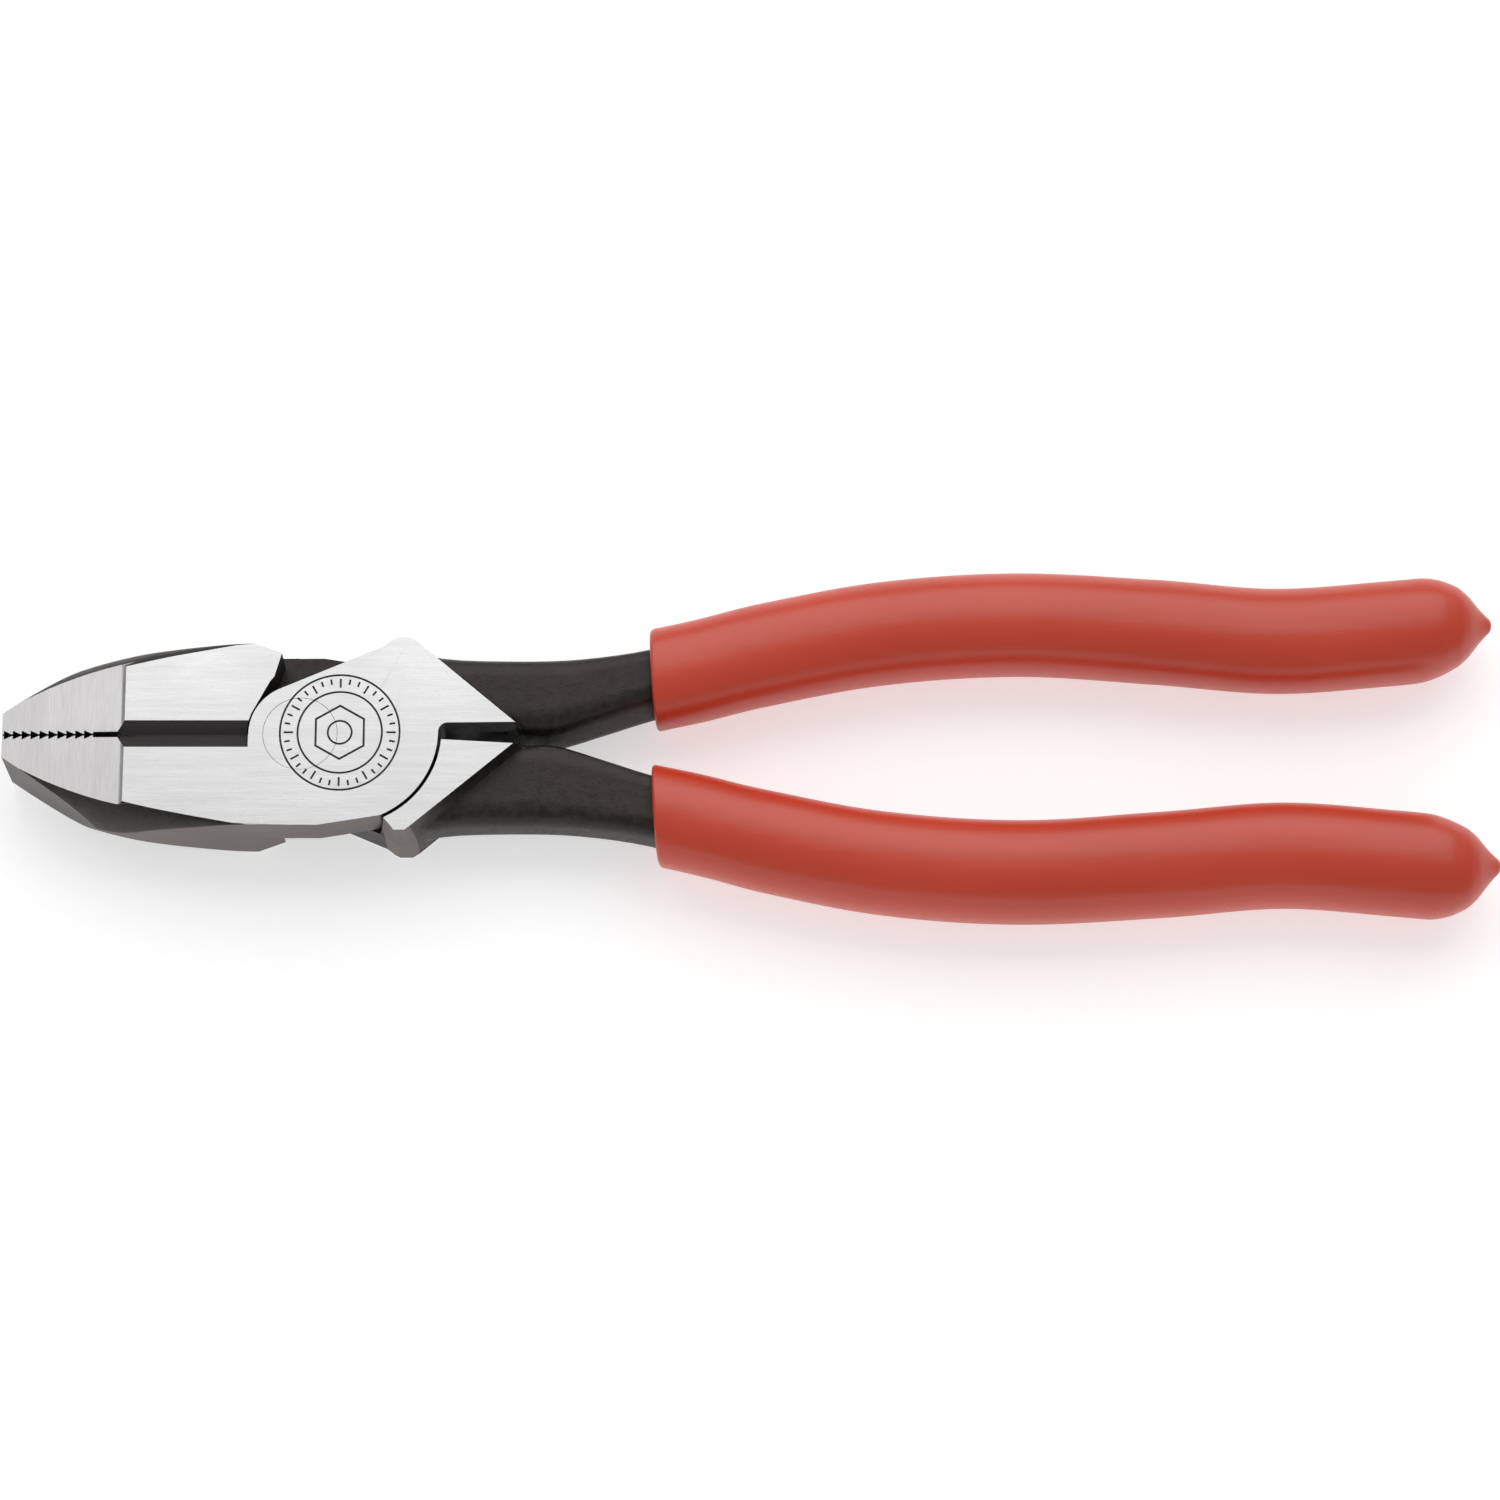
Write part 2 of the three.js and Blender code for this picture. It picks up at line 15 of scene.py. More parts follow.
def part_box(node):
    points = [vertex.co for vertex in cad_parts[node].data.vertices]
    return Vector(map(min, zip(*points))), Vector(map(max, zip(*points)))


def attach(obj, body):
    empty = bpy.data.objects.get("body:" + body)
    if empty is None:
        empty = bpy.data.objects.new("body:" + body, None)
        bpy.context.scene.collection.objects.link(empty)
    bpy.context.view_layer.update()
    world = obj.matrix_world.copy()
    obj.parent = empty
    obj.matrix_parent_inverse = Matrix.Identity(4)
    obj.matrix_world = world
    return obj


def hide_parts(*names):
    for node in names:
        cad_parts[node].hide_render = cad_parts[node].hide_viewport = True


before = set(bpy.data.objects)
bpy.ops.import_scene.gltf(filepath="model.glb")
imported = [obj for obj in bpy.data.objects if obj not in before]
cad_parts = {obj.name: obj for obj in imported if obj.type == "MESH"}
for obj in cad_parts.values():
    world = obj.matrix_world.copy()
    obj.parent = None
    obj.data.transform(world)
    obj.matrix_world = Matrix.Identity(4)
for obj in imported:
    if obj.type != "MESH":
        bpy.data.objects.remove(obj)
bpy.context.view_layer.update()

# ---------------------------------------------------------------- driving dimensions

MM = 0.001
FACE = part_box("front_half")[1].z / MM / 2  # height of a ground face above the middle plane

# Edges and shading. Angles are in degrees.
EDGE_WIDTH = 0.15  # of the softened edges
EDGE_ANGLE = 32  # sharper edges than this are softened
SMOOTH_ANGLE = 38  # faces that meet at less than this are shaded as one surface
SAME_CORNER = 0.002  # corners closer together than this are welded
SAME_PLANE_ANGLE = 0.15  # triangles that differ by less than this become one face
LEVEL = 0.9999  # faces whose normals are more upright than this are level

# Where the finishes of the steel begin and end. Y and heights count either way from the middle.
# Some of these lines also bound painted shade: the dark ground sides, the tip and the knives' recess.
FACE_SKIN = 0.03  # ground faces lie at the full height, to within this
NOSE_STEP_X = -27.9  # the nose is ground thinner in front of this line
NOSE_GRIND_X = NOSE_STEP_X + 0.1  # its cross grain ends here, at the top of the step
NOSE_ROOF = 6.8  # lowest height of the nose's ground faces
NOSE_EDGE_Y = 2.5  # further out than this, edges of the nose keep their black skin
NOSE_FACET_X = -30  # the slanted sides of the tip end before this line
NOSE_FACET_LEAN = 0.559  # how far forward their normals point
KNIFE_REAR_X = -8  # the recess of the knives ends before this line
KNIFE_HALF_WIDTH = 2.5  # of that recess, and a little more
TANG_X = 30  # all sides further back than this keep their black skin
SIDE_Y = 13.6  # further out than this, the head's sides are ground
SIDE_END_X = 18.2  # the head's ground sides end at this line
BAND_Y = 6  # further out than this, the jaw's upright sides are ground

# Which way faces with a finish are turned, as the size of one part of their unit normal.
FACE_IS_LEVEL = 0.999  # upward part of a ground face's, at least
NOSE_IS_LEVEL = 0.75  # the same for the nose, with its hollow step
NOT_A_SIDE = 0.25  # a face with a larger upward part is no side
HEAD_SIDE_LEAN = 0.12  # upward part of a ground side's of the head, at most
UPRIGHT = 0.02  # upward part of an upright side's, at most, and how exactly the tip's lean fits
FACES_OUT = 0.9  # sideways part of a jaw's ground side's, at least
FACES_FORWARD = 0.99  # forward part of the blunt tip's, at least

# Rivet, a countersunk head on each face.
RIVET_RADIUS = 4.5
RIVET_HEAD_RADIUS = 5.9
RIVET_HEAD_DEPTH = 2.4
RIVET_SIDES = 80
RIVET_SUNK = 0.01  # under the ground face
RIVET_EDGE = 0.03  # of the small bevel round each head

# Generic engraved mark: a ring of ticks between two circles, round a plain hexagon.
MARK_CENTRE = (6.3, 0.2)
MARK_DEPTH = 0.2
MARK_PAST = 1  # how far the cutter stands out of the face
MARK_LINE = 0.32
MARK_OUTER_CIRCLE = 9.5
MARK_INNER_CIRCLE = 6.7
MARK_HEXAGON = 4.4  # from its centre to its corners
MARK_HEXAGON_LINE = 0.4
MARK_SMALL_CIRCLE = 1.9
MARK_TICKS = 36
MARK_TICK_START = 8.0
MARK_LONG_TICK_START = 7.4
MARK_LONG_TICK_EVERY = 3
MARK_TICK_END = 8.9

# Tang outline, for the mouth of the grips.
TANG_SQUARENESS = 4.2
TANG_HALF_THICKNESS = 5
TANG_ROUND_X = 176
TANG_END_X = 183.4
TANG_LEAN = 2.0

# Dipped grips.
GRIP_START_X = 55.95
GRIP_ROUND_X = 176.5
GRIP_TIP_X = 190.78
GRIP_TIP_Y = 20.5
GRIP_TIP_HALF_WIDTH = 8.53  # of the full coat, which the end rounds off
GRIP_SQUARENESS = 2.3
PLAIN_OVAL = 2  # the squareness that the grip's section has at its end
GRIP_SIDES = 72
GRIP_TRIM = 0.08  # keeps the round section inside the CAD solid's flats
GRIP_UNEVEN = 0.07  # how far the coat's thickness varies
GRIP_BUMP_SIZE = 14
LIP_ROUNDING = 0.7
DIP_SLANT = 0.057  # lean of the cuff across the tool, the same way on both grips
DIP_LEAN = 0.06  # lean of the cuff through the tool's thickness
DIP_FADE = 60  # the lean fades out over this length
DIP_SHIFT = 0.4  # the turned grip was dipped this much less deeply

# The drop that dipping leaves at the very tip.
DROP_RADIUS = 1.9
DROP_ANGLE = pi / 4  # from the tip to where the drop meets the coat
DROP_START_X = GRIP_TIP_X - DROP_RADIUS * (1 - cos(DROP_ANGLE))
DROP_ASIDE = 0.8  # the turned grip's drop hangs this much nearer the other grip

# Inside of the grips.
MOUTH_GAP = 0.06  # between the coat and the tang at the mouth
MOUTH_ROUNDING = 0.3
MOUTH_DEPTH = 2  # the coat stays close to the tang over this length
INSIDE_START = 3  # and has the full gap from here on
INSIDE_GAP = 0.25
INSIDE_END_TRIM = 0.02  # keeps the last ring from closing to a point

# How many rings a grip has along each stretch.
INSIDE_STEPS = 24
INSIDE_END_STEPS = 8
MOUTH_STEPS = 3
LIP_STEPS = 5
OUTSIDE_STEPS = 70
END_STEPS = 36
DROP_STEPS = 7

# Camera.
CAMERA_ELEVATION = 73.3  # degrees
CAMERA_TARGET = (71.4, -0.33, 8)  # height from the back face, as in the frame
CAMERA_DISTANCE = 0.9  # metres
CAMERA_LENS = 135
CAMERA_SENSOR = 36  # width

# Soft boxes: place and size in metres, power in watts.
LIGHT_TARGET = (0.07, 0, 0)
BACK_BOX = {"place": (0.07, 0.73, 0.84), "power": 10.4, "width": 2.0, "height": 1.1}
FRONT_BOX = {"place": (0.07, -1.05, 0.25), "power": 1.6, "width": 2.0, "height": 0.35}
WORLD_STRENGTH = 0.4

# Floor.
FLOOR_HALF_SIZE = 3000
FLOOR_GAP = 0.2  # to the tool lying on it
FLOOR_GLOW = 0.55


def smooth_curve(knots):
    """A smooth curve through knots (x, value), read off at any x."""
    def slope(i):
        before = knots[max(i - 1, 0)]
        after = knots[min(i + 1, len(knots) - 1)]
        return (after[1] - before[1]) / (after[0] - before[0])

    def at(x):
        i = 0
        while i < len(knots) - 2 and x > knots[i + 1][0]:
            i += 1
        span = knots[i + 1][0] - knots[i][0]
        t = min(max((x - knots[i][0]) / span, 0), 1)
        keep = (1 + 2 * t) * (1 - t) ** 2
        rise = slope(i) * t * (1 - t) ** 2 - slope(i + 1) * t * t * (1 - t)
        return knots[i][1] * keep + knots[i + 1][1] * (1 - keep) + span * rise

    return at


tang_outer = smooth_curve([
    (47.5, 14.4), (55.5, 15.7), (73, 20.2), (92, 23.9), (114, 25.4), (137, 24.2), (156, 22.7),
    (175, 24.0), (TANG_END_X, 24.8),
])
tang_inner = smooth_curve([
    (47.4, 2.2), (55.5, 4.9), (73, 9.6), (92, 13.3), (114, 14.8), (137, 13.6), (156, 12.1),
    (175, 13.4), (TANG_END_X, 14.2),
])
grip_centre = smooth_curve([
    (GRIP_START_X, 11.25), (63.4, 12.9), (73, 15.4), (92, 19.1), (114, 20.65), (137, 19.4),
    (156, 17.9), (175, 19.25), (184, 20.2), (GRIP_TIP_X, GRIP_TIP_Y),
])
grip_half_width = smooth_curve([
    (GRIP_START_X, 8.25), (73, 8.4), (114, 8.35), (140, GRIP_TIP_HALF_WIDTH),
    (GRIP_TIP_X, GRIP_TIP_HALF_WIDTH),
])
grip_half_thickness = smooth_curve([
    (GRIP_START_X, 7.3), (114, 7.8), (156, 7.4), (175, 7.6), (GRIP_TIP_X, 7.6),
])
# The coat's size towards its end, as a share of its full size, down to where the drop begins.
end_share = smooth_curve([
    (GRIP_ROUND_X, 1), (179.7, 0.99), (182.2, 0.925), (183.8, 0.85), (185.4, 0.755), (186.2, 0.68),
    (187.0, 0.592), (187.8, 0.479), (188.6, 0.361), (189.4, 0.254),
    (DROP_START_X, DROP_RADIUS * sin(DROP_ANGLE) / (GRIP_TIP_HALF_WIDTH - GRIP_TRIM)),
])


# ---------------------------------------------------------------- mesh helpers

def to_frame(point):
    """A point in millimetres about the middle plane, as metres in the frame."""
    x, y, z = point
    return Vector((x, y, z + FACE)) * MM


def new_object(name, points, faces):
    """A mesh object from points in millimetres."""
    mesh = bpy.data.meshes.new(name)
    mesh.from_pydata([to_frame(p) for p in points], [], faces)
    obj = bpy.data.objects.new(name, mesh)
    bpy.context.scene.collection.objects.link(obj)
    return obj


def apply_modifiers(obj):
    """Keeps what the object's modifiers make of its mesh, and drops the modifiers."""
    graph = bpy.context.evaluated_depsgraph_get()
    finished = bpy.data.meshes.new_from_object(obj.evaluated_get(graph))
    obj.modifiers.clear()
    obj.data = finished


def face_outward(obj):
    """Turns all faces of a closed mesh to face out."""
    solid = bmesh.new()
    solid.from_mesh(obj.data)
    bmesh.ops.recalc_face_normals(solid, faces=solid.faces)
    solid.to_mesh(obj.data)
    solid.free()


def shade(obj, angle):
    """Smooth shading between faces that meet at less than an angle, with flat faces kept flat."""
    for face in obj.data.polygons:
        face.use_smooth = True
    obj.data.set_sharp_from_angle(angle=radians(angle))
    weighted = obj.modifiers.new("flat_faces_stay_flat", "WEIGHTED_NORMAL")
    weighted.keep_sharp = True
    weighted.mode = "FACE_AREA"
    weighted.weight = 100
    apply_modifiers(obj)
    even_level_faces(obj.data)


def even_level_faces(mesh):
    """Sets the normals of level faces upright, so that no sliver beside a groove tilts them."""
    normals = [corner.vector.copy() for corner in mesh.corner_normals]
    for face in mesh.polygons:
        if abs(face.normal.z) > LEVEL:
            for corner in face.loop_indices:
                normals[corner] = Vector((0, 0, 1 if face.normal.z > 0 else -1))
    mesh.normals_split_custom_set(normals)


def half_turn(point):
    """The same place on the other half, which is this one turned half a turn about X."""
    x, y, z = point
    return (x, -y, -z)


def stacked_rings(rings):
    """Faces that join rings of equal size in order, closed at both ends. Returns points, faces."""
    size = len(rings[0])
    points = [point for ring in rings for point in ring]
    faces = []
    for ring in range(len(rings) - 1):
        for j in range(size):
            a = ring * size + j
            b = ring * size + (j + 1) % size
            faces.append((a, b, b + size, a + size))
    faces.append(tuple(reversed(range(size))))
    faces.append(tuple(range(len(points) - size, len(points))))
    return points, faces


def oval_ring(x, centre_y, half_width, half_thickness, squareness):
    """A ring in the plane at x: a plain oval at a squareness of 2, with flats if it is more."""
    ring = []
    for i in range(GRIP_SIDES):
        angle = 2 * pi * i / GRIP_SIDES
        c, s = cos(angle), sin(angle)
        across = abs(c) ** (2 / squareness) * (1 if c > 0 else -1)
        up = abs(s) ** (2 / squareness) * (1 if s > 0 else -1)
        ring.append((x, centre_y + half_width * across, half_thickness * up))
    return ring


def rounded_end(x, start, end):
    """1 along a run, falling to 0 at its end as a quarter of an oval."""
    t = max(0, (x - start) / (end - start))
    return sqrt(max(0, 1 - t * t))


# ---------------------------------------------------------------- dipped grips

def mouth_ring(x, grow):
    """A ring round the tang, as far from it as grow."""
    taper = rounded_end(x, TANG_ROUND_X, TANG_END_X + grow)
    middle = (tang_outer(x) + tang_inner(x)) / 2
    half_width = (tang_outer(x) - tang_inner(x)) / 2 + grow
    ring = []
    for _, across, up in oval_ring(x, 0, 1, 1, TANG_SQUARENESS):
        slant = TANG_LEAN * taper * (1 - across) / 2 * (1 + up) / 2
        y = middle + half_width * taper * across + slant
        ring.append((x, y, (TANG_HALF_THICKNESS + grow) * taper * up))
    return ring


def coat_ring(x, trim=0):
    """A ring on the outside of the coat. Trim draws it in, for the rounded lip."""
    share = end_share(x) if x > GRIP_ROUND_X else 1
    squareness = GRIP_SQUARENESS * share + PLAIN_OVAL * (1 - share)
    half_width = (grip_half_width(x) - GRIP_TRIM) * share - trim
    half_thickness = (grip_half_thickness(x) - GRIP_TRIM) * share - trim
    return oval_ring(x, grip_centre(x), half_width, half_thickness, squareness)


def dipped(ring, turned):
    """Moves a ring near the cuff to where the level of the dip was, fading out along the grip.

    The drop at the end of the turned grip hangs a little nearer the other grip.
    """
    side = -1 if turned else 1
    shift = DIP_SHIFT if turned else 0
    aside = DROP_ASIDE if turned else 0
    moved = []
    for x, y, z in ring:
        fade = max(0, 1 - (x - GRIP_START_X) / DIP_FADE) ** 2
        lean = side * (DIP_SLANT * (y - grip_centre(GRIP_START_X)) + DIP_LEAN * z)
        hang = max(0, (x - GRIP_ROUND_X) / (GRIP_TIP_X - GRIP_ROUND_X)) ** 2
        moved.append((x + fade * (shift - lean), y - aside * hang, z))
    return moved


def uneven(ring, seed):
    """Thins the coat a little here and there, as dipping leaves it."""
    x = ring[0][0]
    centre = Vector((x, sum(p[1] for p in ring) / len(ring), sum(p[2] for p in ring) / len(ring)))
    moved = []
    for point in ring:
        place = Vector(point)
        wave = noise.noise(place / GRIP_BUMP_SIZE + Vector((seed, 0, 0)))
        out = (place - centre).normalized()
        moved.append(tuple(place - out * GRIP_UNEVEN * (0.5 + 0.5 * wave)))
    return moved


def inside_rings():
    """From the hidden end of the tang forwards, and then close round it at the mouth."""
    end = TANG_END_X + INSIDE_GAP
    start = GRIP_START_X + INSIDE_START
    places = [end - INSIDE_END_TRIM]
    for i in range(INSIDE_END_STEPS - 1, 0, -1):
        places.append(TANG_ROUND_X + (end - TANG_ROUND_X) * sin(pi / 2 * i / INSIDE_END_STEPS))
    for i in range(INSIDE_STEPS, -1, -1):
        places.append(start + (TANG_ROUND_X - start) * i / INSIDE_STEPS)
    rings = [mouth_ring(x, INSIDE_GAP) for x in places]
    rings.append(mouth_ring(GRIP_START_X + MOUTH_DEPTH, MOUTH_GAP))
    return rings


def lip_rings():
    """Round the inner edge of the mouth, and then round the outer one."""
    rings = []
    for i in range(MOUTH_STEPS + 1):
        angle = pi / 2 * i / MOUTH_STEPS
        x = GRIP_START_X + MOUTH_ROUNDING * (1 - sin(angle))
        rings.append(mouth_ring(x, MOUTH_GAP + MOUTH_ROUNDING * (1 - cos(angle))))
    for i in range(LIP_STEPS + 1):
        angle = pi / 2 * i / LIP_STEPS
        x = GRIP_START_X + LIP_ROUNDING * (1 - cos(angle))
        rings.append(coat_ring(x, LIP_ROUNDING * (1 - sin(angle))))
    return rings


def outside_rings(seed):
    """Along the outside of the coat, to where the drop begins."""
    start = GRIP_START_X + LIP_ROUNDING
    places = []
    for i in range(1, OUTSIDE_STEPS + 1):
        places.append(start + (GRIP_ROUND_X - start) * i / OUTSIDE_STEPS)
    for i in range(1, END_STEPS + 1):
        places.append(GRIP_ROUND_X + (DROP_START_X - GRIP_ROUND_X) * i / END_STEPS)
    return [uneven(coat_ring(x), seed) for x in places]


def drop_rings():
    """Round the drop, almost to the tip."""
    start = coat_ring(DROP_START_X)
    rings = []
    for i in range(1, DROP_STEPS):
        angle = DROP_ANGLE * (1 - i / DROP_STEPS)
        x = GRIP_TIP_X - DROP_RADIUS * (1 - cos(angle))
        share = sin(angle) / sin(DROP_ANGLE)
        rings.append([(x, GRIP_TIP_Y + (y - GRIP_TIP_Y) * share, z * share) for _, y, z in start])
    return rings


def grip_rings(seed, turned):
    """All rings of a grip in order: up the inside, round the lip, along the outside to the tip."""
    rings = inside_rings() + lip_rings() + outside_rings(seed) + drop_rings()
    return [dipped(ring, turned) for ring in rings]


def grip(name, turned, seed):
    """A dipped grip as one closed mesh. The seed picks where its coat is thin."""
    rings = grip_rings(seed, turned)
    if turned:
        rings = [[half_turn(point) for point in ring] for ring in rings]
    obj = new_object(name, *stacked_rings(rings))
    face_outward(obj)
    obj.data.materials.append(PLASTISOL)
    for face in obj.data.polygons:
        face.use_smooth = True
    return obj


# ---------------------------------------------------------------- materials

# Grain of the finishes, in repeats per metre along each axis.
CLOUDS = (55, 55, 55)
MOTTLE = (900, 900, 900)
PITS = (2600, 2600, 2600)
WEAR = (130, 200, 200)
SLOW_CHANGE = (30, 45, 45)
SKIN = (900, 900, 900)
RIPPLES = (14, 330, 330)
SPECKS = (1500, 1500, 1500)
FLOOR_GRAIN = (400, 400, 400)
NOISE_ROUGHNESS = 0.55


def add(tree, kind, inputs=(), **settings):
    """Adds a shader node. An input that is a socket is linked, and any other value is set."""
    node = tree.nodes.new("ShaderNode" + kind)
    for name, value in settings.items():
        setattr(node, name, value)
    for name, value in dict(inputs).items():
        if isinstance(value, bpy.types.NodeSocket):
            tree.links.new(value, node.inputs[name])
        else:
            node.inputs[name].default_value = value
    return node


def new_material(name):
    """An empty node material. Returns the material, its tree and its shader."""
    material = bpy.data.materials.new(name)
    material.use_nodes = True
    return material, material.node_tree, material.node_tree.nodes["Principled BSDF"]


def grain(tree, scale, detail=2.0):
    """A noise stretched by how finely it repeats along each axis, in repeats per metre."""
    place = add(tree, "TexCoord")
    mapping = add(tree, "Mapping", {"Vector": place.outputs["Object"], "Scale": scale})
    return add(tree, "TexNoise", {
        "Vector": mapping.outputs["Vector"], "Scale": 1.0, "Detail": detail, "Roughness": NOISE_ROUGHNESS,
    }).outputs["Fac"]


def ramp(tree, value, low, high, start=0.3, end=0.7):
    """Maps a noise value from start..end to low..high, which are colours or numbers."""
    if isinstance(low, tuple):
        node = add(tree, "ValToRGB", {"Fac": value})
        node.color_ramp.elements[0].position = start
        node.color_ramp.elements[0].color = (*low, 1)
        node.color_ramp.elements[1].position = end
        node.color_ramp.elements[1].color = (*high, 1)
        return node.outputs["Color"]
    return add(tree, "MapRange", {
        "Value": value, "From Min": start, "From Max": end, "To Min": low, "To Max": high,
    }).outputs["Result"]


def mixed(tree, factor, first, second, mode="MIX"):
    """Mixes two colours."""
    node = add(tree, "MixRGB", {"Fac": factor, "Color1": first, "Color2": second}, blend_type=mode)
    return node.outputs["Color"]


def bumps(tree, height, strength, depth, over=None):
    """The normal that a height map of a depth in millimetres gives, over another normal if given."""
    inputs = {"Height": height, "Strength": strength, "Distance": depth * MM}
    if over is not None:
        inputs["Normal"] = over
    return add(tree, "Bump", inputs).outputs["Normal"]


def brushed_steel(name, dark, light, roughness, fine, coarse, metallic=1.0, gloss=0.5):
    """Ground steel: fine and coarse scratches in colour, roughness and bump."""
    material, tree, shader = new_material(name)
    scratches = grain(tree, fine)
    bands = grain(tree, coarse)
    clouds = grain(tree, CLOUDS)
    colour = ramp(tree, scratches, dark, light, start=0.28, end=0.72)
    shading = ramp(tree, bands, (0.94, 0.94, 0.94), (1, 1, 1), start=0.35, end=0.6)
    colour = mixed(tree, 1.0, colour, shading, "MULTIPLY")
    tree.links.new(colour, shader.inputs["Base Color"])
    shader.inputs["Metallic"].default_value = metallic
    shader.inputs["Specular IOR Level"].default_value = gloss
    rough = add(tree, "Math", {
        0: ramp(tree, scratches, roughness - 0.05, roughness + 0.07),
        1: ramp(tree, clouds, -0.03, 0.04),
    }, operation="ADD").outputs["Value"]
    tree.links.new(rough, shader.inputs["Roughness"])
    tree.links.new(bumps(tree, scratches, strength=0.25, depth=0.02), shader.inputs["Normal"])
    return material


def black_oxide():
    """Forged steel under a thin black skin: mottled, faintly pitted, a little worn."""
    material, tree, shader = new_material("black_oxide")
    mottle = grain(tree, MOTTLE, detail=4.0)
    pits = grain(tree, PITS, detail=3.0)
    wear = grain(tree, WEAR, detail=6.0)
    colour = ramp(
        tree, mottle, (0.029, 0.0255, 0.023), (0.045, 0.040, 0.037), start=0.35, end=0.65)
    worn = ramp(tree, wear, (0, 0, 0), (0.2, 0.2, 0.2), start=0.58, end=0.8)
    colour = mixed(tree, worn, colour, (0.099, 0.088, 0.0814, 1))
    tree.links.new(colour, shader.inputs["Base Color"])
    shader.inputs["Metallic"].default_value = 0.75
    tree.links.new(ramp(tree, mottle, 0.38, 0.55), shader.inputs["Roughness"])
    tree.links.new(bumps(tree, pits, strength=0.6, depth=0.08), shader.inputs["Normal"])
    return material


def plastisol():
    """Dipped soft plastic: satin, with lengthwise ripples, a fine skin and slow colour change."""
    material, tree, shader = new_material("dipped_plastisol")
    slow = grain(tree, SLOW_CHANGE)
    skin = grain(tree, SKIN, detail=3.0)
    ripples = grain(tree, RIPPLES, detail=1.0)
    colour = ramp(tree, slow, (0.56, 0.041, 0.011), (0.61, 0.049, 0.015), start=0.35, end=0.65)
    tree.links.new(colour, shader.inputs["Base Color"])
    tree.links.new(ramp(tree, skin, 0.30, 0.38), shader.inputs["Roughness"])
    shader.inputs["Specular IOR Level"].default_value = 0.7
    soft = bumps(tree, ripples, strength=0.5, depth=0.12)
    tree.links.new(bumps(tree, skin, strength=0.12, depth=0.05, over=soft), shader.inputs["Normal"])
    return material


def engraving_fill():
    """Dark matt dirt and ink in the grooves of the mark."""
    material, tree, shader = new_material("engraving_fill")
    colour = ramp(tree, grain(tree, SPECKS), (0.02, 0.02, 0.02), (0.06, 0.06, 0.06))
    tree.links.new(colour, shader.inputs["Base Color"])
    shader.inputs["Roughness"].default_value = 0.7
    return material


GROUND_X = brushed_steel(
    "ground_face", dark=(0.58, 0.58, 0.585), light=(0.67, 0.67, 0.675), roughness=0.30,
    fine=(240, 5600, 500), coarse=(60, 1300, 100))
GROUND_Y = brushed_steel(
    "ground_nose", dark=(0.48, 0.47, 0.47), light=(0.60, 0.59, 0.59), roughness=0.34,
    fine=(5200, 300, 500), coarse=(900, 80, 100))
# Ground steel on the upright sides, its colour far darker than that of the ground faces: painted shade,
# for sides that face away from the light.
GROUND_SIDE_PAINTED_SHADE = brushed_steel(
    "ground_side_painted_shade", dark=(0.120, 0.101, 0.094), light=(0.205, 0.175, 0.164), roughness=0.42,
    fine=(90, 500, 4200), coarse=(40, 300, 900))
# Painted shade: the knives' bevels are ground steel in the shade of their recess, given a near-black,
# almost matt colour.
KNIFE_RECESS_PAINTED_SHADE = brushed_steel(
    "knife_recess_painted_shade", dark=(0.038, 0.035, 0.034), light=(0.058, 0.054, 0.053), roughness=0.55,
    fine=(120, 3800, 3800), coarse=(30, 600, 600), metallic=0.1, gloss=0.15)
# The same ground steel on the slanted sides and the blunt end of the tip, darker still: painted shade.
GROUND_TIP_PAINTED_SHADE = brushed_steel(
    "ground_tip_painted_shade", dark=(0.080, 0.073, 0.070), light=(0.127, 0.117, 0.113), roughness=0.42,
    fine=(90, 500, 4200), coarse=(40, 300, 900))
WORN_EDGE = brushed_steel(
    "worn_edge", dark=(0.20, 0.19, 0.18), light=(0.42, 0.41, 0.40), roughness=0.36,
    fine=(900, 900, 900), coarse=(200, 200, 200))
OXIDE = black_oxide()
ENGRAVING = engraving_fill()
PLASTISOL = plastisol()
FINISHES_AND_PAINTED_SHADE = [OXIDE, GROUND_X, GROUND_Y, GROUND_SIDE_PAINTED_SHADE, GROUND_TIP_PAINTED_SHADE, KNIFE_RECESS_PAINTED_SHADE, WORN_EDGE, ENGRAVING]


# ---------------------------------------------------------------- steel halves

def cad_copy(name, node):
    """A new object with its own copy of a CAD node's mesh."""
    obj = bpy.data.objects.new(name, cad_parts[node].data.copy())
    bpy.context.scene.collection.objects.link(obj)
    return obj


def join_flat_faces(obj):
    """Welds the corners, and joins neighbouring triangles in the same plane into one face."""
    solid = bmesh.new()
    solid.from_mesh(obj.data)
    bmesh.ops.remove_doubles(solid, verts=solid.verts, dist=SAME_CORNER * MM)
    bmesh.ops.dissolve_limit(
        solid, angle_limit=radians(SAME_PLANE_ANGLE), verts=solid.verts, edges=solid.edges)
    solid.to_mesh(obj.data)
    solid.free()


